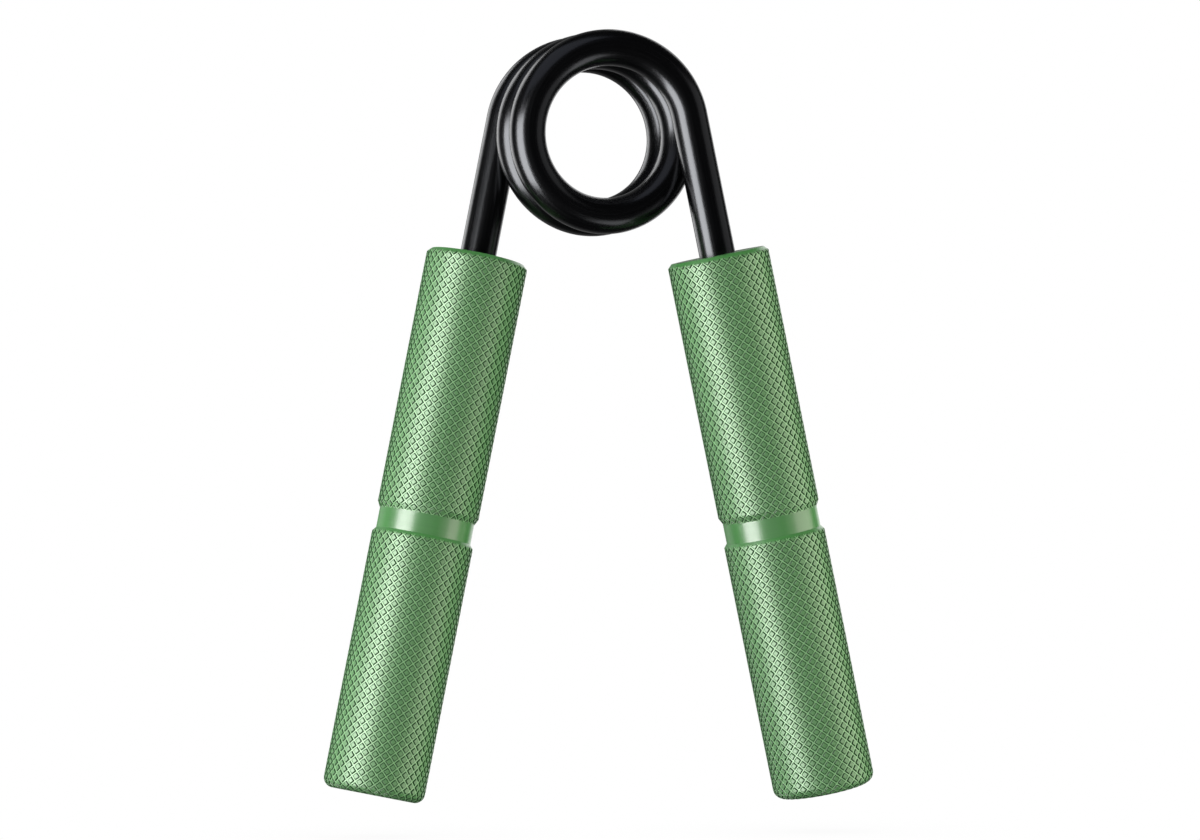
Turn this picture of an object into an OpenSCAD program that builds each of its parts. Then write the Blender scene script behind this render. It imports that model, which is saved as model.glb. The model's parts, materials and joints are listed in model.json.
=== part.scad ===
// Hand grip strengthener.
// One steel wire is wound into an open torsion coil. Its two straight legs end inside two turned
// aluminium handles. The coil is the only hinge: squeezing the handles winds it tighter.
//
// Frame: the origin is the centre of the coil, on the axis that the handles turn about.
// +Z is up, with the handles hanging down. +Y runs along the coil's axis, from the front of the
// coil to its back. +X is to the right. The right handle is in front and the left one behind, and
// half a turn about Z swaps them.

/* [Spring] */
// Diameter of the spring wire
wire_d = 7.1; // [6:0.1:7.6]
// Diameter of the coil, measured between wire centres
coil_d = 32.5; // [30:0.5:40]
// Turns in the coil while the legs are parallel, always a whole number and a half
coil_turns = 2.5; // [1.5:1:3.5]
// Length that each turn adds between the two legs, beyond the wire's diameter
extra_per_turn = 0.34; // [0.1:0.02:1]
// Lean of each handle away from upright, at rest
rest_angle = 11.8; // [8:0.2:16]
// Length of bare leg between the coil and the top of a handle
bare_leg = 27.8; // [20:0.2:40]

/* [Handles] */
// Diameter over the crests of the knurl
handle_d = 20; // [18:0.5:24]
// Length of a handle
handle_len = 107; // [95:1:120]
// Distance from the top of a handle to the smooth ring
ring_from_top = 51.8; // [45:0.1:55]
// Length of the smooth ring
ring_len = 3.9; // [3:0.1:8]
// Depth of the smooth ring below the crests of the knurl
ring_depth = 0.65; // [0.4:0.05:1.4]
// Axial length of the sloped shoulder above the ring
upper_shoulder_len = 1.2; // [0.5:0.1:3]
// Axial length of the sloped shoulder below the ring
lower_shoulder_len = 0.8; // [0.3:0.1:2]
// Bevel at the top end of a handle
top_bevel = 0.8; // [0.3:0.1:1.5]
// Radius that rounds the bottom end of a handle
bottom_round = 2.0; // [0.5:0.1:3]

/* [Joint between leg and handle] */
// How far each leg goes into its handle
leg_in_handle = 68; // [40:1:85]
// Gap between a leg and its bore, all round
bore_gap = 0.05; // [0.02:0.01:0.1]
// Empty depth of bore below the end of a leg
bore_spare = 2; // [1:0.5:5]
// Bevel at the mouth of the bore
mouth_bevel = 0.4; // [0.2:0.1:0.8]
// Bevel on the cut end of a leg
leg_end_bevel = 0.6; // [0.3:0.1:1]

/* [Smoothness] */
// Flat sides around the wire
wire_sides = 20; // [12:2:32]
// Steps along one turn of the coil
steps_per_turn = 32; // [16:4:48]

/* [Hidden] */
$fn = 96;

coil_r = coil_d / 2;
wire_r = wire_d / 2;
handle_r = handle_d / 2;
ring_r = handle_r - ring_depth;
bore_r = wire_r + bore_gap;
// Distance along the coil's axis between the two legs. The coil climbs faster in its middle than at
// its ends, so neighbouring turns there have a gap of about 1 mm.
coil_span = coil_turns * (wire_d + extra_per_turn);
// The coil angle is measured from +X towards +Z, seen from the front
first_angle = rest_angle;
last_angle = 360 * coil_turns - rest_angle;
coil_steps = ceil(steps_per_turn * (last_angle - first_angle) / 360);
// Share of the coil at each end over which the climb of the winding fades out
fade = 0.06;
// Included angle of the drill that made the bore
drill_point_angle = 118;
// Small overlap that makes a cutting tool break through a face
through = 0.5;
// Number of short chords that make up the rounded bottom edge
round_steps = 8;

// ---- the wire's centre line -------------------------------------------------------------------

// Share of the climb that is done after share u of the coil. It starts and ends level, so that
// each leg leaves the coil square to the coil's axis.
function climb(u) =
    u < fade ? u * u / (2 * fade * (1 - fade))
    : u > 1 - fade ? 1 - climb(1 - u)
    : (u - fade / 2) / (1 - fade);

// Slope of climb(u)
function climb_slope(u) =
    u < fade ? u / (fade * (1 - fade))
    : u > 1 - fade ? climb_slope(1 - u)
    : 1 / (1 - fade);

// Direction from the coil's axis to the wire at a coil angle
function outward(angle) = [cos(angle), 0, sin(angle)];

// Direction of travel along the coil at a coil angle, as the angle grows
function around(angle) = [-sin(angle), 0, cos(angle)];

function coil_angle(u) = first_angle + u * (last_angle - first_angle);

function coil_point(u) =
    coil_r * outward(coil_angle(u)) + [0, coil_span * (climb(u) - 0.5), 0];

// Unit vector along the wire. The coil's length is its radius times its angle in radians.
function coil_tangent(u) =
    let (run = coil_r * (last_angle - first_angle) * PI / 180)
    unit(around(coil_angle(u)) + [0, coil_span * climb_slope(u) / run, 0]);

function unit(v) = v / norm(v);

// One section of the wire: points in a circle square to tangent, around centre
function section(centre, out, tangent, radius) =
    let (side = cross(tangent, out))
    [for (i = [0 : wire_sides - 1])
        let (a = 360 * i / wire_sides)
        centre + radius * (cos(a) * out + sin(a) * side)];

// Sections of one straight leg, from its cut end inwards. The leg hangs from the end of the coil
// at the given coil angle, and down is its direction away from the coil.
function leg_sections(angle, y, down, travel) =
    let (
        start = coil_r * outward(angle) + [0, y, 0],
        end_at = bare_leg + leg_in_handle
    )
    [for (s = [[end_at, wire_r - leg_end_bevel], [end_at - leg_end_bevel, wire_r]])
        section(start + s[0] * down, outward(angle), travel, s[1])];

function reversed(list) = [for (i = [len(list) - 1 : -1 : 0]) list[i]];

// Triangles that join each section to the next one and close both ends
function tube_faces(sections) =
    let (n = wire_sides, last = (sections - 1) * n)
    concat(
        [[for (i = [0 : n - 1]) i]],
        [for (s = [0 : sections - 2], i = [0 : n - 1])
            let (j = (i + 1) % n)
            [s * n + i, (s + 1) * n + i, (s + 1) * n + j]],
        [for (s = [0 : sections - 2], i = [0 : n - 1])
            let (j = (i + 1) % n)
            [s * n + i, (s + 1) * n + j, s * n + j]],
        [[for (i = [n - 1 : -1 : 0]) last + i]]
    );

module spring() {
    right_travel = around(first_angle);
    left_travel = around(last_angle);
    right_leg = leg_sections(first_angle, -coil_span / 2, -right_travel, right_travel);
    left_leg = reversed(leg_sections(last_angle, coil_span / 2, left_travel, left_travel));
    coil = [for (k = [0 : coil_steps])
        let (u = k / coil_steps)
        section(coil_point(u), outward(coil_angle(u)), coil_tangent(u), wire_r)];
    sections = concat(right_leg, coil, left_leg);
    color([0.06, 0.06, 0.07])
    polyhedron([for (s = sections, p = s) p], tube_faces(len(sections)), convexity = 6);
}

// ---- handles ----------------------------------------------------------------------------------

// Half outline of a handle from its top face, at height 0, down to its bottom face
function handle_outline() = concat(
    [
        [0, 0],
        [handle_r - top_bevel, 0],
        [handle_r, -top_bevel],
        [handle_r, -(ring_from_top - upper_shoulder_len)],
        [ring_r, -ring_from_top],
        [ring_r, -(ring_from_top + ring_len)],
        [handle_r, -(ring_from_top + ring_len + lower_shoulder_len)]
    ],
    [for (k = [0 : round_steps])
        let (a = 90 * k / round_steps)
        [handle_r - bottom_round * (1 - cos(a)), -(handle_len - bottom_round * (1 - sin(a)))]],
    [[0, -handle_len]]
);

// Tool that drills the blind bore for a leg and bevels its mouth
module leg_bore() {
    depth = leg_in_handle + bore_spare;
    point_len = bore_r / tan(drill_point_angle / 2);
    translate([0, 0, -depth])
        cylinder(r = bore_r, h = depth + through);
    translate([0, 0, -depth - point_len])
        cylinder(r1 = 0, r2 = bore_r, h = point_len);
    translate([0, 0, -mouth_bevel])
        cylinder(r1 = bore_r, r2 = bore_r + mouth_bevel + through, h = mouth_bevel + through);
}

// A handle with its axis upright and the middle of its top face at the origin
module handle() {
    color([0.29, 0.58, 0.32])
    difference() {
        rotate_extrude()
            polygon(handle_outline());
        leg_bore();
    }
}

module right_handle() {
    rotate([0, -rest_angle, 0])
        translate([coil_r, -coil_span / 2, -bare_leg])
        handle();
}

module left_handle() {
    rotate([0, 0, 180])
        right_handle();
}

spring();
left_handle();
right_handle();
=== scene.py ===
"""Looks of the hand grip strengthener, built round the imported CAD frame.

The spring is shown as two half springs that meet in the middle of the coil, and each handle is
shown with its real diamond knurl, cut as geometry. All lengths are in metres, in the row frame.
"""

import json
import math

import bmesh
import bpy
import numpy as np
from mathutils import Matrix, Vector


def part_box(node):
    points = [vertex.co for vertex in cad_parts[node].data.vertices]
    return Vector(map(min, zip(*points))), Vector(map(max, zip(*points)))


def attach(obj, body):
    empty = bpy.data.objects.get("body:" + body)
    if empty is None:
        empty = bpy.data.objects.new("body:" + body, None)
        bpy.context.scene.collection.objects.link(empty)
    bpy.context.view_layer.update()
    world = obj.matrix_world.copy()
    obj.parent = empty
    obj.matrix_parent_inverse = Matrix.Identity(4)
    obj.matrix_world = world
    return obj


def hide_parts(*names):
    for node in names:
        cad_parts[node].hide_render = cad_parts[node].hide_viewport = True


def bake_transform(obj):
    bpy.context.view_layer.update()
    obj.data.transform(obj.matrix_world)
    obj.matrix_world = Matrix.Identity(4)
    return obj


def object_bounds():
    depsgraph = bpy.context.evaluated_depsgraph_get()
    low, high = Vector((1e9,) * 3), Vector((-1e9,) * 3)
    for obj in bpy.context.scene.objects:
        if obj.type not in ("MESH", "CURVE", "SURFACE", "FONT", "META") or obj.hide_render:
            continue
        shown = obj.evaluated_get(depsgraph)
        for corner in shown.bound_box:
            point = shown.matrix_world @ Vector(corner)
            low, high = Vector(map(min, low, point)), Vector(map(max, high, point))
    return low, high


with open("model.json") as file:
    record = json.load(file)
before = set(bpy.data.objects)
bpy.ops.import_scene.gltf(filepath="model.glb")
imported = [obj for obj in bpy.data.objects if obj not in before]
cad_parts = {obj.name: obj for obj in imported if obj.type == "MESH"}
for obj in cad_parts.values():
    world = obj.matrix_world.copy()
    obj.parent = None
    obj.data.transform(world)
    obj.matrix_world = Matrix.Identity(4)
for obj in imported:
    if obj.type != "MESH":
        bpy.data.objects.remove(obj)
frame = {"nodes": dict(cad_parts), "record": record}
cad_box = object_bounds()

MM = 0.001
TAU = 2 * math.pi

# ---- details that the CAD leaves out ------------------------------------------------------------

COIL_TURNS = 2.5  # counted with the legs parallel
CLIMB_FADE = 0.06  # share of the coil at each end over which the climb of the winding fades out
LEG_END_BEVEL = 0.6 * MM
WIRE_SIDES = 48
LEG_STEP = 5 * MM  # between cross-sections of a leg
DEGREES_PER_STEP = 1.25  # between cross-sections of the coil

DIAMONDS_AROUND = 32
DIAMOND_LENGTH = 1.94 * MM  # along the handle
GROOVE_DEPTH = 0.21 * MM
RUN_OUT = 0.5 * MM  # length over which the grooves fade out at the lower end of a band
EASE = 0.15 * MM  # how far a corner of the turned outside is eased, for the way the knurl faces
SAME_PLACE = 1e-7  # two places closer than this are one
CUT_TOLERANCE = 1e-8
LEVEL_LIMIT = 0.001  # how far from 0 or 1 a knurl height may be on a groove floor or a crest
SHARP_ANGLE = math.radians(20)
# One diamond across, from groove to groove: where its facets meet, and how high each place stands
FACET_PLACES = (0.0, 0.08, 0.23, 0.77, 0.92, 1.0)
FACET_HEIGHTS = (0.0, 0.0, 1.0, 1.0, 0.0, 0.0)
SMOOTH_SIDES = 144  # around the plain turned surfaces

# ---- sizes read from the frame ------------------------------------------------------------------


def mount(name):
    return next(m for m in frame["record"]["mounts"] if m["name"] == name)


def node_points(name):
    return np.array([v.co for v in frame["nodes"][name].data.vertices], float)


def handle_profile(node, grip):
    """Every turned corner of a handle, as (distance below the top face, radius), and the distance
    from the grip band's middle up to the top face."""
    points = node_points(node) - np.array(grip["pos_m"])
    axis = np.array(grip["axis"]) / np.linalg.norm(grip["axis"])
    down = points @ axis
    radius = np.linalg.norm(points - np.outer(down, axis), axis=1)
    top = down.min()
    corners = {(round(d - top, 6), round(r, 6)) for d, r in zip(down, radius)}
    return sorted(corners), -float(top)


right_grip = mount("right_grip_band")
left_grip = mount("left_grip_band")
leg_down = Vector(right_grip["axis"]).normalized()
HANDLE_R = right_grip["dims"]["r_mm"] * MM
corners, grip_to_top = handle_profile("right_handle", right_grip)
outer_profile = [(d, r) for d, r in corners if r > HANDLE_R / 2]
bore_profile = [(d, r) for d, r in corners if r < HANDLE_R / 2]
HANDLE_LEN = max(d for d, r in corners)

grip_pos = Vector(right_grip["pos_m"])
COIL_SPAN = 2 * abs(grip_pos.y)
COIL_R = abs(grip_pos.x * leg_down.z - grip_pos.z * leg_down.x)
WIRE_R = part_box("spring")[1].z - COIL_R
REST_ANGLE = math.asin(leg_down.x)
LEG_LEN = float((node_points("spring") @ np.array(leg_down)).max())

# ---- mesh helpers -------------------------------------------------------------------------------


def new_object(name, mesh, materials=()):
    for material in materials:
        mesh.materials.append(material)
    obj = bpy.data.objects.new(name, mesh)
    bpy.context.scene.collection.objects.link(obj)
    return obj


def add_attribute(mesh, name, kind, values):
    """Stores one value per vertex, for the materials to read."""
    attribute = mesh.attributes.new(name, kind, "POINT")
    field = "vector" if kind == "FLOAT_VECTOR" else "value"
    attribute.data.foreach_set(field, np.asarray(values, np.float32).ravel())


# ---- spring -------------------------------------------------------------------------------------


def climb(u):
    """Share of the coil's climb that is done after share u of its turns. It starts level."""
    if u < CLIMB_FADE:
        return u * u / (2 * CLIMB_FADE * (1 - CLIMB_FADE))
    if u > 1 - CLIMB_FADE:
        return 1 - climb(1 - u)
    return (u - CLIMB_FADE / 2) / (1 - CLIMB_FADE)


def climb_slope(u):
    if u < CLIMB_FADE:
        return u / (CLIMB_FADE * (1 - CLIMB_FADE))
    if u > 1 - CLIMB_FADE:
        return climb_slope(1 - u)
    return 1 / (1 - CLIMB_FADE)


def wire_stations():
    """Stations along the front half of the wire, from the cut end of the right leg to the middle
    of the coil, as (centre, outward direction, tangent, wire radius, distance along the wire)."""
    first = REST_ANGLE
    turned = TAU * COIL_TURNS - 2 * REST_ANGLE
    outward = Vector((math.cos(first), 0, math.sin(first)))
    leg_top = COIL_R * outward + Vector((0, -COIL_SPAN / 2, 0))
    stations = [(leg_top + LEG_LEN * leg_down, outward, -leg_down, WIRE_R - LEG_END_BEVEL, 0.0)]
    bare = LEG_LEN - LEG_END_BEVEL
    steps = math.ceil(bare / LEG_STEP)
    for i in range(steps):
        left = bare * (1 - i / steps)
        stations.append((leg_top + left * leg_down, outward, -leg_down, WIRE_R, LEG_LEN - left))
    steps = math.ceil(math.degrees(turned) / 2 / DEGREES_PER_STEP)
    for i in range(steps + 1):
        u = 0.5 * i / steps
        angle = first + u * turned
        outward = Vector((math.cos(angle), 0, math.sin(angle)))
        around = Vector((-math.sin(angle), 0, math.cos(angle)))
        rise = COIL_SPAN * climb_slope(u) / (COIL_R * turned)
        centre = COIL_R * outward + Vector((0, COIL_SPAN * (climb(u) - 0.5), 0))
        tangent = (around + Vector((0, rise, 0))).normalized()
        stations.append((centre, outward, tangent, WIRE_R, LEG_LEN + COIL_R * u * turned))
    return stations


def half_spring(name, half_turn, material):
    """One half of the wire as a closed tube. half_turn swaps the front half for the back one."""
    verts, normals, wire_space = [], [], []
    flip = -1 if half_turn else 1
    stations = wire_stations()
    for centre, outward, tangent, radius, along in stations:
        side = tangent.cross(outward)
        for i in range(WIRE_SIDES):
            a = TAU * i / WIRE_SIDES
            normal = math.cos(a) * outward + math.sin(a) * side
            point = centre + radius * normal
            verts.append((flip * point.x, flip * point.y, point.z))
            normals.append((flip * normal.x, flip * normal.y, normal.z))
            wire_space.append((WIRE_R * math.cos(a), WIRE_R * math.sin(a), flip * along))
    rings = len(stations)
    faces = []
    for s in range(rings - 1):
        for i in range(WIRE_SIDES):
            j = (i + 1) % WIRE_SIDES
            a, b = s * WIRE_SIDES, (s + 1) * WIRE_SIDES
            faces.append((a + i, a + j, b + j, b + i))
    tube_faces = len(faces)
    last = (rings - 1) * WIRE_SIDES
    faces.append(tuple(reversed(range(WIRE_SIDES))))
    faces.append(tuple(range(last, last + WIRE_SIDES)))
    mesh = bpy.data.meshes.new(name)
    mesh.from_pydata(verts, [], faces)
    add_attribute(mesh, "wire_space", "FLOAT_VECTOR", wire_space)
    smooth = np.arange(len(faces)) < tube_faces
    mesh.polygons.foreach_set("use_smooth", smooth)
    mesh.validate()
    mesh.update()
    # The true normals of the wire, so that no seam shows where the two halves meet
    bevel_loops = WIRE_SIDES * 4
    corner_normals = [tuple(c.vector) for c in mesh.corner_normals]
    for loop in range(bevel_loops, tube_faces * 4):
        corner_normals[loop] = normals[mesh.loops[loop].vertex_index]
    mesh.normals_split_custom_set(corner_normals)
    return new_object(name, mesh, [material])


def build_spring(material):
    """Two halves that meet in the middle of the coil, in place of the CAD spring, which is hidden."""
    halves = []
    for name, body, half_turn, sign in (
        ("spring_front", "right_handle", False, -1),
        ("spring_back", "left_handle", True, 1),
    ):
        half = half_spring(name, half_turn, material)
        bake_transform(half)
        halves.append(half)
    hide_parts("spring")
    return halves


# ---- handles ------------------------------------------------------------------------------------

# The knurl is laid out on the turned outside as if that were rolled out flat: an angle round the
# handle, and a reach, which is the distance from the edge of the top face along the surface.
outline = np.array(outer_profile)
outline_reach = np.concatenate([[0], np.cumsum(np.hypot(*np.diff(outline, axis=0).T))])


def on_outline(reach):
    """Distance below the top face, and radius, of the turned outside."""
    return np.interp(reach, outline_reach, outline[:, 0]), np.interp(
        reach, outline_reach, outline[:, 1]
    )


def outline_normal(reach):
    """Which way the turned outside faces, as its downward and outward parts. Corners are eased."""
    ahead, behind = on_outline(reach + EASE), on_outline(reach - EASE)
    down, out = behind[1] - ahead[1], ahead[0] - behind[0]
    length = np.hypot(down, out)
    return down / length, out / length


def knurl_height(angle, reach):
    """How far the knurl stands between its groove floor, 0, and its crests, 1."""
    s = DIAMONDS_AROUND * angle / TAU
    t = reach / DIAMOND_LENGTH
    heights = [np.interp(x % 1, FACET_PLACES, FACET_HEIGHTS) for x in (s + t, s - t)]
    return np.minimum(*heights)


def place(angle, distance, radius):
    """Points in a handle's own frame, which has its origin in the middle of the top face."""
    angle, distance, radius = np.broadcast_arrays(angle, distance, radius)
    return np.stack([radius * np.cos(angle), radius * np.sin(angle), -distance], axis=-1)


def knurled_points(angle, reach, top, bottom):
    """The knurled surface, as points, heights between groove and crest, and crest normals. At its
    top end the grooves run out through the bevel, and at its bottom end they get shallower."""
    height = knurl_height(angle, reach)
    distance, radius = on_outline(reach)
    down, out = outline_normal(reach)
    cut = GROOVE_DEPTH * (1 - height)
    in_bevel = np.maximum(cut - (HANDLE_R - radius), 0)
    fading = cut * np.clip((bottom - reach) / RUN_OUT, 0, 1)
    cut = np.where(reach < (top + bottom) / 2, in_bevel, fading)
    points = place(angle, distance - cut * down, radius - cut * out)
    return points, height, place(angle, down, out)


def lattice(top, bottom):
    """Diamonds on a plain cylinder whose height is the reach, as vertices and faces. The corner
    faces of a diamond are split along its creases."""
    parts = len(FACET_PLACES) - 1
    middle = parts // 2
    rows = 2 * np.array([top, bottom]) / DIAMOND_LENGTH
    i, row, x, y = np.meshgrid(
        np.arange(DIAMONDS_AROUND),
        np.arange(math.floor(rows[0]) - 1, math.ceil(rows[1]) + 2),
        np.arange(parts),
        np.arange(parts),
        indexing="ij",
    )
    period = DIAMONDS_AROUND * parts
    corner_a = np.stack([i * parts + x + c for c in (0, 1, 1, 0)], axis=-1)
    corner_b = np.stack([(i - row) * parts + y + c for c in (0, 0, 1, 1)], axis=-1)
    wrap = corner_a >= period
    corner_a, corner_b = corner_a - period * wrap, corner_b - period * wrap
    low_b = corner_b.min()
    height = corner_b.max() - low_b + 1
    keys, quads = np.unique(corner_a * height + corner_b - low_b, return_inverse=True)
    key_a, key_b = keys // height, keys % height + low_b
    shares = np.array(FACET_PLACES[:-1])
    a = key_a // parts + shares[key_a % parts]
    b = key_b // parts + shares[key_b % parts]
    points = place(TAU * (a + b) / 2 / DIAMONDS_AROUND, DIAMOND_LENGTH * (a - b) / 2, HANDLE_R)
    creases = np.sign((x - middle) * (y - middle)).ravel()
    faces = []
    for (p, q, r, s), crease in zip(quads.reshape(-1, 4).tolist(), creases.tolist()):
        if crease > 0:
            faces += [(p, q, r), (p, r, s)]
        elif crease < 0:
            faces += [(p, q, s), (q, r, s)]
        else:
            faces.append((p, q, r, s))
    return points, faces


def cut_across(bm, reach, **options):
    """Cuts the lattice at one reach. Only the faces within one diamond of it need a look."""
    faces = bm.faces[:]
    if not options:
        faces = [f for f in faces if abs(f.verts[0].co.z + reach) < DIAMOND_LENGTH]
    edges = {e for f in faces for e in f.edges}
    verts = {v for f in faces for v in f.verts}
    bmesh.ops.bisect_plane(
        bm,
        geom=faces + list(edges) + list(verts),
        dist=CUT_TOLERANCE,
        plane_co=(0, 0, -reach),
        plane_no=(0, 0, 1),
        **options
    )


def cut_reaches(top, bottom):
    """Where the band needs a row of vertices: the corners of the turned outside, and some places
    on the short slopes at its two ends, where the grooves run out."""
    inside = [r for r in outline_reach if top < r < bottom]
    reaches = set(inside)
    for a, b in ((top, inside[0]), (inside[-1], bottom), (bottom - RUN_OUT, bottom)):
        reaches |= {a + (b - a) * share for share in (0, 0.5)}
    return sorted(r for r in reaches if r > top + SAME_PLACE)


class Shape:
    """A mesh as it grows: points with a knurl height and a normal each, and two kinds of face."""

    def __init__(self):
        self.points = np.zeros((0, 3))
        self.heights = np.zeros(0)
        self.normals = np.zeros((0, 3))
        self.faces = {"knurled": [], "turned": []}

    def add_points(self, points, heights=0.0, normals=0.0):
        """Adds points and returns their numbers."""
        first = len(self.points)
        points = np.asarray(points, float).reshape(-1, 3)
        self.points = np.concatenate([self.points, points])
        self.heights = np.concatenate([self.heights, np.broadcast_to(heights, len(points))])
        self.normals = np.concatenate([self.normals, np.broadcast_to(normals, points.shape)])
        return list(range(first, first + len(points)))

    def add_band(self, top, bottom):
        """Adds one knurled band and returns its top and bottom edges, in order of angle."""
        points, faces = lattice(top, bottom)
        mesh = bpy.data.meshes.new("band")
        mesh.from_pydata(points.tolist(), [], faces)
        band = bmesh.new()
        band.from_mesh(mesh)
        cut_across(band, top, clear_outer=True)
        cut_across(band, bottom, clear_inner=True)
        for reach in cut_reaches(top, bottom):
            cut_across(band, reach)
        band.to_mesh(mesh)
        band.free()
        flat = np.array([v.co for v in mesh.vertices], float)
        faces = [tuple(f.vertices) for f in mesh.polygons]
        bpy.data.meshes.remove(mesh)
        angle, reach = np.arctan2(flat[:, 1], flat[:, 0]) % TAU, -flat[:, 2]
        first = self.add_points(*knurled_points(angle, reach, top, bottom))[0]
        self.faces["knurled"] += [tuple(first + i for i in face) for face in faces]
        edges = []
        for end in (top, bottom):
            edge = np.flatnonzero(abs(reach - end) < SAME_PLACE)
            edges.append([first + int(i) for i in edge[np.argsort(angle[edge])]])
        return edges

    def add_turned(self, corners):
        """Adds the turned surface through (distance, radius) corners. Returns its end loops."""
        angles = TAU * np.arange(SMOOTH_SIDES) / SMOOTH_SIDES
        loops = [self.add_points(place(angles, d, r)) for d, r in corners]
        for upper, lower in zip(loops, loops[1:]):
            for i in range(SMOOTH_SIDES):
                j = (i + 1) % SMOOTH_SIDES
                self.faces["turned"].append((upper[i], lower[i], lower[j], upper[j]))
        return loops[0], loops[-1]

    def add_tip(self, loop, distance, facing_up):
        """Closes a loop with a fan of triangles round one vertex on the axis."""
        tip = self.add_points((0, 0, -distance))[0]
        for a, b in zip(loop, loop[1:] + loop[:1]):
            self.faces["turned"].append((b, tip, a) if facing_up else (a, tip, b))

    def angle_of(self, point):
        x, y, _ = self.points[point]
        return math.atan2(y, x) % TAU

    def stitch(self, upper, lower):
        """Joins two loops, each in order of angle, with triangles. Their counts may differ."""
        upper_angles = [self.angle_of(p) for p in upper] + [self.angle_of(upper[0]) + TAU]
        lower_angles = [self.angle_of(p) for p in lower] + [self.angle_of(lower[0]) + TAU]
        upper, lower = upper + upper[:1], lower + lower[:1]
        i = j = 0
        while i < len(upper) - 1 or j < len(lower) - 1:
            lower_done = j == len(lower) - 1
            if lower_done or (i < len(upper) - 1 and upper_angles[i + 1] < lower_angles[j + 1]):
                self.faces["turned"].append((upper[i], lower[j], upper[i + 1]))
                i += 1
            else:
                self.faces["turned"].append((upper[i], lower[j], lower[j + 1]))
                j += 1

    def to_mesh(self, name):
        """Facets stay flat, turned surfaces are smooth, and the crests and groove floors follow
        the surface that they were cut from."""
        mesh = bpy.data.meshes.new(name)
        knurled, turned = self.faces["knurled"], self.faces["turned"]
        mesh.from_pydata(self.points.tolist(), [], knurled + turned)
        is_turned = np.arange(len(knurled) + len(turned)) >= len(knurled)
        mesh.polygons.foreach_set("material_index", is_turned.astype(np.int32))
        mesh.polygons.foreach_set("use_smooth", is_turned)
        mesh.set_sharp_from_angle(angle=SHARP_ANGLE)
        add_attribute(mesh, "knurl_height", "FLOAT", self.heights)
        vert_of = np.zeros(len(mesh.loops), np.int32)
        mesh.loops.foreach_get("vertex_index", vert_of)
        starts = np.zeros(len(mesh.polygons), np.int32)
        mesh.polygons.foreach_get("loop_start", starts)
        sizes = np.diff(np.append(starts, len(vert_of)))
        normals = np.array([c.vector for c in mesh.corner_normals])
        lowest = np.minimum.reduceat(self.heights[vert_of], starts)
        highest = np.maximum.reduceat(self.heights[vert_of], starts)
        level = (lowest > 1 - LEVEL_LIMIT) | (highest < LEVEL_LIMIT)
        level = np.repeat(level & ~is_turned, sizes)
        normals[level] = self.normals[vert_of[level]]
        mesh.normals_split_custom_set(normals.tolist())
        return mesh


def turned_between(top, bottom):
    """Corners of the turned outside between two reaches, both ends included."""
    inside = [r for r in outline_reach if top < r < bottom]
    return [tuple(float(x) for x in on_outline(r)) for r in [top] + inside + [bottom]]


def run_out_on_bevel(corner):
    """Reach at which the grooves run out, on the bevel that ends at a corner of the outside."""
    ends = slice(corner - 1, corner + 1)
    return float(np.interp(HANDLE_R - GROOVE_DEPTH, outline[ends, 1], outline_reach[ends]))


def handle_mesh(name):
    """A whole handle: two knurled bands, the plain turned surfaces between them, and the bore."""
    shape = Shape()
    full = [i for i, corner in enumerate(outline) if corner[1] > HANDLE_R - SAME_PLACE]
    ring_r = outline[full[1]:full[2], 1].min()
    ring = [i for i in range(full[1], full[2]) if outline[i, 1] < ring_r + SAME_PLACE]
    upper_top, lower_top = run_out_on_bevel(full[0]), run_out_on_bevel(full[2])
    upper_edges = shape.add_band(upper_top, outline_reach[ring[0]])
    lower_edges = shape.add_band(lower_top, outline_reach[-1])

    bore = [(d, r) for d, r in reversed(bore_profile) if r > 0]
    bore_bottom, top_face = shape.add_turned(bore + turned_between(0, upper_top / 2))
    shape.add_tip(bore_bottom, bore_profile[-1][0], facing_up=True)
    shape.stitch(top_face, upper_edges[0])

    ring_top, lower_bevel = shape.add_turned(
        turned_between(outline_reach[ring[0]] + EASE, outline_reach[full[2] - 1])
    )
    shape.stitch(upper_edges[1], ring_top)
    shape.stitch(lower_bevel, lower_edges[0])

    rim, _ = shape.add_turned([(HANDLE_LEN, outline[-1, 1] - EASE)])
    shape.stitch(lower_edges[1], rim)
    shape.add_tip(rim, HANDLE_LEN, facing_up=False)
    return shape.to_mesh(name)


def build_handle(node, grip, mesh):
    """A knurled handle in the place of its CAD node. Its own Z runs up along its axis."""
    obj = new_object(node + "_knurled", mesh)
    up = -Vector(grip["axis"]).normalized()
    back = Vector((0, math.copysign(1, grip["pos_m"][0]), 0))
    right = back.cross(up)
    top = Vector(grip["pos_m"]) + grip_to_top * up
    turn = Matrix((right, back, up)).transposed().to_4x4()
    obj.matrix_world = Matrix.Translation(top) @ turn
    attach(obj, node)
    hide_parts(node)
    return obj


# ---- materials ----------------------------------------------------------------------------------

SKIN_IOR = 1.8  # of the anodised skin
CREST_DARK, CREST_LIGHT = (0.052, 0.25, 0.047, 1), (0.064, 0.29, 0.058, 1)
CREST_GRAIN = (0.09, 0.34, 0.085, 1)
# Painted shade: the groove flanks are painted darker than the crests, for the shade on the groove
# sides.
FLANK_PAINTED_SHADE = (0.009, 0.06, 0.012, 1)
# Painted highlight: the groove floors are painted lighter than the crests, for the bright lines along
# the grooves and against the shade in them.
FLOOR_PAINTED_HIGHLIGHT = (0.2, 0.52, 0.18, 1)
TURNED_DARK, TURNED_LIGHT = (0.06, 0.28, 0.056, 1), (0.075, 0.32, 0.07, 1)
TURNED_MARK = (0.045, 0.22, 0.045, 1)
WIRE_DARK, WIRE_LIGHT = (0.0004, 0.0004, 0.0006, 1), (0.0015, 0.0015, 0.002, 1)


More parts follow.
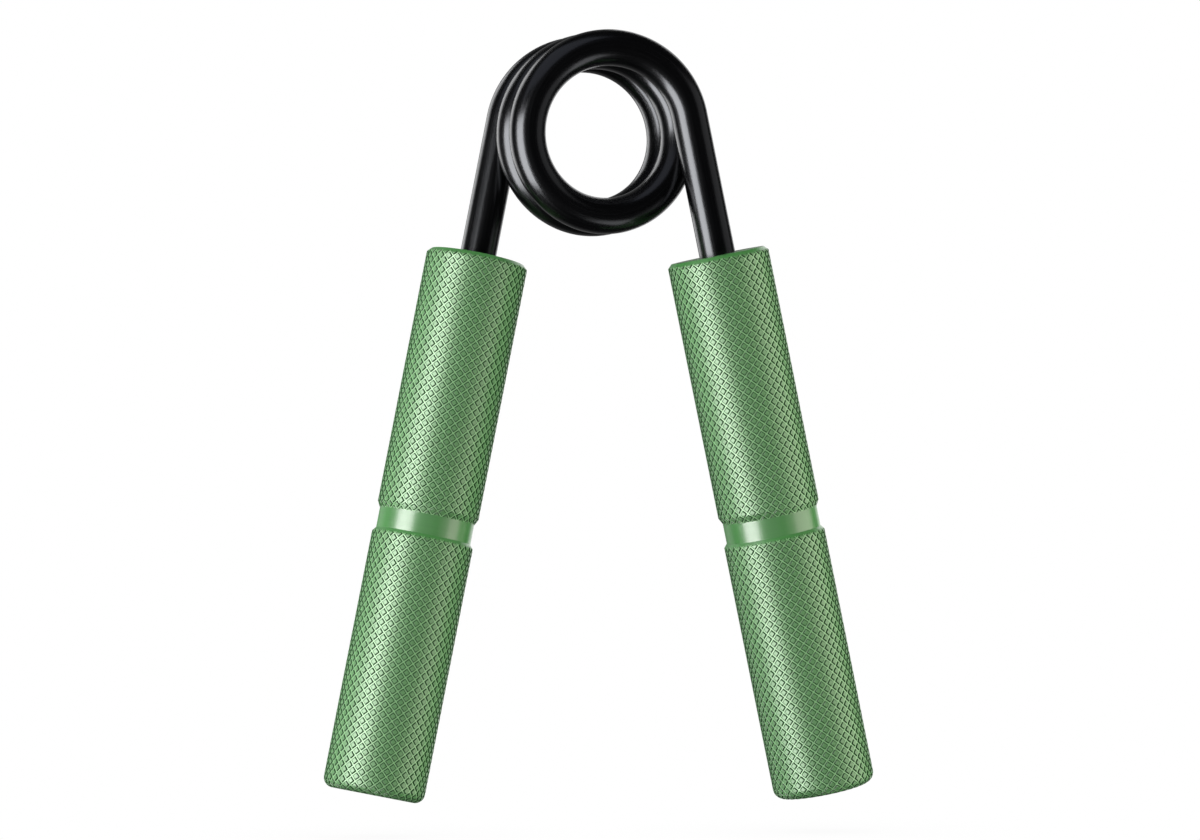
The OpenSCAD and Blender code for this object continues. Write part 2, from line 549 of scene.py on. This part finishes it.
def add_node(tree, kind, inputs=None, **settings):
    """Adds a shader node. Each input is either a value or the output of another node."""
    node = tree.nodes.new(kind)
    for key, value in settings.items():
        setattr(node, key, value)
    for key, value in (inputs or {}).items():
        if isinstance(value, bpy.types.NodeSocket):
            tree.links.new(value, node.inputs[key])
        else:
            node.inputs[key].default_value = value
    return node


def new_material(name):
    material = bpy.data.materials.new(name)
    material.use_nodes = True
    tree = material.node_tree
    tree.nodes.clear()
    return material, tree


def finish_material(tree, surface):
    output = add_node(tree, "ShaderNodeOutputMaterial")
    tree.links.new(surface, output.inputs["Surface"])


def math_node(tree, operation, a, b=0.0):
    return add_node(tree, "ShaderNodeMath", {0: a, 1: b}, operation=operation).outputs[0]


def mapped(tree, value, from_low, from_high, to_low, to_high):
    inputs = {0: value, 1: from_low, 2: from_high, 3: to_low, 4: to_high}
    return add_node(tree, "ShaderNodeMapRange", inputs).outputs[0]


def mixed(tree, share, a, b):
    node = add_node(tree, "ShaderNodeMix", {0: share, 6: a, 7: b}, data_type="RGBA")
    return node.outputs[2]


def noise(tree, vector, scale, detail=2.0, roughness=0.5):
    inputs = {"Vector": vector, "Scale": scale, "Detail": detail, "Roughness": roughness}
    return add_node(tree, "ShaderNodeTexNoise", inputs).outputs["Fac"]


def bump(tree, height, distance, normal=None):
    inputs = {"Height": height, "Distance": distance, "Strength": 1.0}
    if normal is not None:
        inputs["Normal"] = normal
    return add_node(tree, "ShaderNodeBump", inputs).outputs["Normal"]


def turned_vector(tree, spot):
    """Coordinates that stay the same all round the handle's axis, for marks left by a lathe."""
    parts = add_node(tree, "ShaderNodeSeparateXYZ", {0: spot}).outputs
    square = math_node(tree, "ADD", math_node(tree, "MULTIPLY", parts[0], parts[0]),
                       math_node(tree, "MULTIPLY", parts[1], parts[1]))
    radius = math_node(tree, "SQRT", square)
    return add_node(tree, "ShaderNodeCombineXYZ", {0: radius, 2: parts[2]}).outputs[0]


def green_anodised_knurl():
    """Satin green crests, with a painted highlight on the groove floors, which are painted lighter,
    and a painted shade on the flanks between the two, which are painted darker.
    """
    material, tree = new_material("green_anodised_knurl")
    spot = add_node(tree, "ShaderNodeTexCoord").outputs["Object"]
    height = add_node(tree, "ShaderNodeAttribute", attribute_name="knurl_height").outputs["Fac"]
    patches = noise(tree, spot, 90, 3)
    grain = noise(tree, spot, 2600, 3, 0.6)
    crest = mixed(tree, patches, CREST_DARK, CREST_LIGHT)
    crest = mixed(tree, mapped(tree, grain, 0.35, 0.7, 0.0, 0.3), crest, CREST_GRAIN)
    on_crest = mapped(tree, height, 0.8, 0.98, 0.0, 1.0)
    on_floor = mapped(tree, height, 0.02, 0.15, 1.0, 0.0)
    # The flanks get a painted shade, a darker green below the crests.
    color = mixed(tree, on_crest, FLANK_PAINTED_SHADE, crest)
    # The groove floors get a painted highlight, a lighter green.
    color = mixed(tree, on_floor, color, FLOOR_PAINTED_HIGHLIGHT)
    level = math_node(tree, "MAXIMUM", on_crest, on_floor)
    satin = mapped(tree, grain, 0.3, 0.7, 0.46, 0.58)
    surface = add_node(tree, "ShaderNodeBsdfPrincipled", {
        "Base Color": color,
        "Roughness": satin,
        "IOR": SKIN_IOR,
        "Specular IOR Level": mapped(tree, level, 0, 1, 0.15, 0.5),
        "Specular Tint": (1, 0.94, 0.91, 1),
        "Coat Weight": mapped(tree, level, 0, 1, 0.05, 0.8),
        "Coat Roughness": 0.4,
        "Coat IOR": SKIN_IOR,
        "Normal": bump(tree, grain, 0.02 * MM),
    })
    finish_material(tree, surface.outputs[0])
    return material


def green_anodised_turned():
    """The same skin on the smooth ring and the end faces, with fine lathe marks round the axis."""
    material, tree = new_material("green_anodised_turned")
    spot = add_node(tree, "ShaderNodeTexCoord").outputs["Object"]
    around = turned_vector(tree, spot)
    marks = noise(tree, around, 5200, 4, 0.65)
    broad = noise(tree, around, 700, 2)
    patches = noise(tree, spot, 120, 3)
    color = mixed(tree, patches, TURNED_DARK, TURNED_LIGHT)
    color = mixed(tree, mapped(tree, marks, 0.35, 0.7, 0.0, 0.25), color, TURNED_MARK)
    tangent = add_node(tree, "ShaderNodeTangent", direction_type="RADIAL", axis="Z").outputs[0]
    surface = add_node(tree, "ShaderNodeBsdfPrincipled", {
        "Base Color": color,
        "Roughness": mapped(tree, broad, 0.3, 0.7, 0.34, 0.42),
        "IOR": SKIN_IOR,
        "Specular IOR Level": 0.65,
        "Specular Tint": (1, 0.78, 0.97, 1),
        "Anisotropic": 0.5,
        "Anisotropic Rotation": 0.25,
        "Tangent": tangent,
        "Coat Weight": 0.25,
        "Coat Roughness": 0.2,
        "Coat IOR": SKIN_IOR,
        "Normal": bump(tree, marks, 0.006 * MM),
    })
    finish_material(tree, surface.outputs[0])
    return material


def black_wire():
    """Gloss black skin over drawn wire: faint lines along the wire and a soft unevenness."""
    material, tree = new_material("black_wire")
    space = add_node(tree, "ShaderNodeAttribute", attribute_name="wire_space").outputs["Vector"]
    spot = add_node(tree, "ShaderNodeTexCoord").outputs["Object"]
    stretched = add_node(tree, "ShaderNodeVectorMath", {0: space, 1: (1, 1, 0.02)},
                         operation="MULTIPLY").outputs[0]
    lines = noise(tree, stretched, 2600, 3, 0.6)
    uneven = noise(tree, spot, 260, 3)
    color = mixed(tree, uneven, WIRE_DARK, WIRE_LIGHT)
    skin = bump(tree, uneven, 0.02 * MM)
    surface = add_node(tree, "ShaderNodeBsdfPrincipled", {
        "Base Color": color,
        "Roughness": mapped(tree, lines, 0.3, 0.7, 0.2, 0.28),
        "Specular IOR Level": 0.55,
        "Specular Tint": (0.93, 0.95, 1, 1),
        "Normal": bump(tree, lines, 0.003 * MM, skin),
    })
    finish_material(tree, surface.outputs[0])
    return material


# ---- stage, lights and camera -------------------------------------------------------------------

FLOOR_GAP = 6.5 * MM  # under the handles at rest, which swing 6.2 mm lower as they close
FLOOR_SIZE = 12.0  # from its middle to each side
CONTACT_REACH = 40 * MM  # how far from the handles the floor is shaded
CONTACT_SHADE = 0.93  # brightness of the floor where it is shaded most
AMBIENT_LIGHT = 0.5
ROOM_LIGHT = 0.015  # brightness of reflections of the room
WALL_LIGHT = 0.2  # brightness of reflections of the wall behind the object
WALL_EDGE, WALL_FULL = 0.45, 0.9  # how far back a reflection points where the wall starts and is full


def build_floor():
    """A plain pale floor, faintly shaded under the handles. It is clear when seen from below."""
    low = cad_box[0].z - FLOOR_GAP
    side = FLOOR_SIZE
    mesh = bpy.data.meshes.new("floor")
    square = [(-side, -side, low), (side, -side, low), (side, side, low), (-side, side, low)]
    mesh.from_pydata(square, [], [(0, 1, 2, 3)])
    material, tree = new_material("pale_floor")
    spot = add_node(tree, "ShaderNodeTexCoord").outputs["Object"]
    shade = add_node(tree, "ShaderNodeAmbientOcclusion", {"Distance": CONTACT_REACH}).outputs["AO"]
    grain = mapped(tree, noise(tree, spot, 900, 2), 0.3, 0.7, 0.995, 1.005)
    tone = math_node(tree, "MULTIPLY", grain, mapped(tree, shade, 0, 1, CONTACT_SHADE, 1))
    glow = add_node(tree, "ShaderNodeEmission", {"Strength": tone})
    clear = add_node(tree, "ShaderNodeBsdfTransparent")
    from_below = add_node(tree, "ShaderNodeNewGeometry").outputs["Backfacing"]
    surface = add_node(tree, "ShaderNodeMixShader", {
        0: from_below, 1: glow.outputs[0], 2: clear.outputs[0]
    })
    finish_material(tree, surface.outputs[0])
    floor = new_object("floor", mesh, [material])
    floor.visible_diffuse = False
    floor.visible_glossy = False
    floor.visible_shadow = False


def build_world():
    """White behind the object for the camera. It lights the object evenly from all round, and in
    reflections it is a dark room with a pale wall behind the object."""
    world = bpy.data.worlds.new("studio")
    world.use_nodes = True
    tree = world.node_tree
    tree.nodes.clear()
    direction = add_node(tree, "ShaderNodeTexCoord").outputs["Generated"]
    parts = add_node(tree, "ShaderNodeSeparateXYZ", {0: direction}).outputs
    reflected = mapped(tree, parts[1], WALL_EDGE, WALL_FULL, ROOM_LIGHT, WALL_LIGHT)
    ray = add_node(tree, "ShaderNodeLightPath").outputs
    tones = [
        add_node(tree, "ShaderNodeBackground", {"Color": (1, 1, 1, 1), "Strength": strength})
        for strength in (AMBIENT_LIGHT, reflected, 1.0)
    ]
    glossy = add_node(tree, "ShaderNodeMixShader", {
        0: ray["Is Glossy Ray"], 1: tones[0].outputs[0], 2: tones[1].outputs[0]
    })
    seen = add_node(tree, "ShaderNodeMixShader", {
        0: ray["Is Camera Ray"], 1: glossy.outputs[0], 2: tones[2].outputs[0]
    })
    output = add_node(tree, "ShaderNodeOutputWorld")
    tree.links.new(seen.outputs[0], output.inputs["Surface"])
    bpy.context.scene.world = world


def soft_box(name, azimuth, elevation, distance, width, height, power, color=(1, 1, 1)):
    """A rectangular lamp that faces the object. Azimuth 0 is in front, and it grows to the right."""
    a, e = math.radians(azimuth), math.radians(elevation)
    away = Vector((math.sin(a) * math.cos(e), -math.cos(a) * math.cos(e), math.sin(e)))
    lamp = bpy.data.lights.new(name, "AREA")
    lamp.shape = "RECTANGLE"
    lamp.size, lamp.size_y = width, height
    lamp.energy = power
    lamp.color = color
    obj = bpy.data.objects.new(name, lamp)
    bpy.context.scene.collection.objects.link(obj)
    middle = (cad_box[0] + cad_box[1]) / 2
    obj.location = middle + distance * away
    obj.rotation_euler = (-away).to_track_quat("-Z", "Y").to_euler()
    obj.visible_camera = False
    return obj


def light_only(lamps, name, objects):
    """Makes lamps light nothing but the given objects."""
    group = bpy.data.collections.new(name)
    for obj in objects:
        group.objects.link(obj)
    for lamp in lamps:
        lamp.light_linking.receiver_collection = group


def build_handle_lights(handles):
    """The key light shows only as a highlight, and the left light only as a soft glow."""
    key = soft_box("handle_key", azimuth=-70, elevation=0, distance=0.68,
                   width=0.5, height=1.0, power=10)
    key.visible_diffuse = False
    right = soft_box("handle_right", azimuth=66, elevation=0, distance=0.9,
                     width=0.9, height=1.2, power=6, color=(1, 0.98, 0.86))
    side = soft_box("handle_side", azimuth=30, elevation=0, distance=0.9,
                    width=0.44, height=0.9, power=0.4, color=(1, 0.98, 0.9))
    front = soft_box("handle_front", azimuth=-14, elevation=0, distance=0.9,
                     width=0.5, height=0.9, power=0.3)
    left = soft_box("handle_left", azimuth=-92, elevation=15, distance=0.9,
                    width=0.8, height=0.8, power=7.5)
    left.visible_glossy = False
    light_only((key, left, right, side, front), "lit_handles", handles)


def build_spring_lights(spring):
    """The key light shows only as a highlight. It stands lower than the one on the handles."""
    key = soft_box("spring_key", azimuth=-67, elevation=-15, distance=0.68,
                   width=0.52, height=0.72, power=13)
    key.visible_diffuse = False
    right = soft_box("spring_right", azimuth=68, elevation=0, distance=0.9,
                     width=0.8, height=1.0, power=1)
    back = soft_box("spring_back", azimuth=-152, elevation=10, distance=1.0,
                    width=0.6, height=1.2, power=4.5)
    low = soft_box("spring_low", azimuth=48, elevation=-40, distance=0.8,
                   width=0.5, height=0.3, power=0.8)
    top = soft_box("spring_top", azimuth=-50, elevation=55, distance=0.9,
                   width=0.9, height=0.9, power=1.3, color=(0.82, 0.86, 1))
    light_only((key, right, back, low, top), "lit_spring", spring)


def build_shared_lights():
    """Two lamps behind the object, which light all of it."""
    soft_box("back_left", azimuth=-150, elevation=10, distance=1.0,
             width=0.6, height=1.2, power=0.8)
    soft_box("back_right", azimuth=140, elevation=10, distance=1.0,
             width=0.6, height=1.2, power=2.5)


CAMERA_AZIMUTH = -18.93
CAMERA_ELEVATION = -0.91
CAMERA_ROLL = -0.28
CAMERA_DISTANCE = 0.981
CAMERA_AIM = Vector((0.38 * MM, 0, -55.92 * MM))
CAMERA_LENS = 150.6  # focal length and sensor width are in millimetres
CAMERA_SENSOR = 36
CAMERA_NEAR, CAMERA_FAR = 0.01, 100


def build_camera():
    a, e = math.radians(CAMERA_AZIMUTH), math.radians(CAMERA_ELEVATION)
    back = Vector((math.sin(a) * math.cos(e), -math.cos(a) * math.cos(e), math.sin(e)))
    cam = bpy.data.cameras.new("camera")
    cam.lens = CAMERA_LENS
    cam.sensor_width = CAMERA_SENSOR
    cam.clip_start = CAMERA_NEAR
    cam.clip_end = CAMERA_FAR
    obj = bpy.data.objects.new("camera", cam)
    bpy.context.scene.collection.objects.link(obj)
    obj.location = CAMERA_AIM + CAMERA_DISTANCE * back
    upright = (-back).to_track_quat("-Z", "Y").to_matrix().to_4x4()
    obj.rotation_euler = (upright @ Matrix.Rotation(math.radians(CAMERA_ROLL), 4, "Z")).to_euler()
    bpy.context.scene.camera = obj


# ---- the scene ----------------------------------------------------------------------------------

spring = build_spring(black_wire())
knurled = handle_mesh("knurled_handle")
knurled.materials.append(green_anodised_knurl())
knurled.materials.append(green_anodised_turned())
handles = [
    build_handle("right_handle", right_grip, knurled),
    build_handle("left_handle", left_grip, knurled.copy()),
]
build_floor()
build_world()
build_handle_lights(handles)
build_spring_lights(spring)
build_shared_lights()
build_camera()
bpy.context.scene.view_settings.view_transform = "Standard"
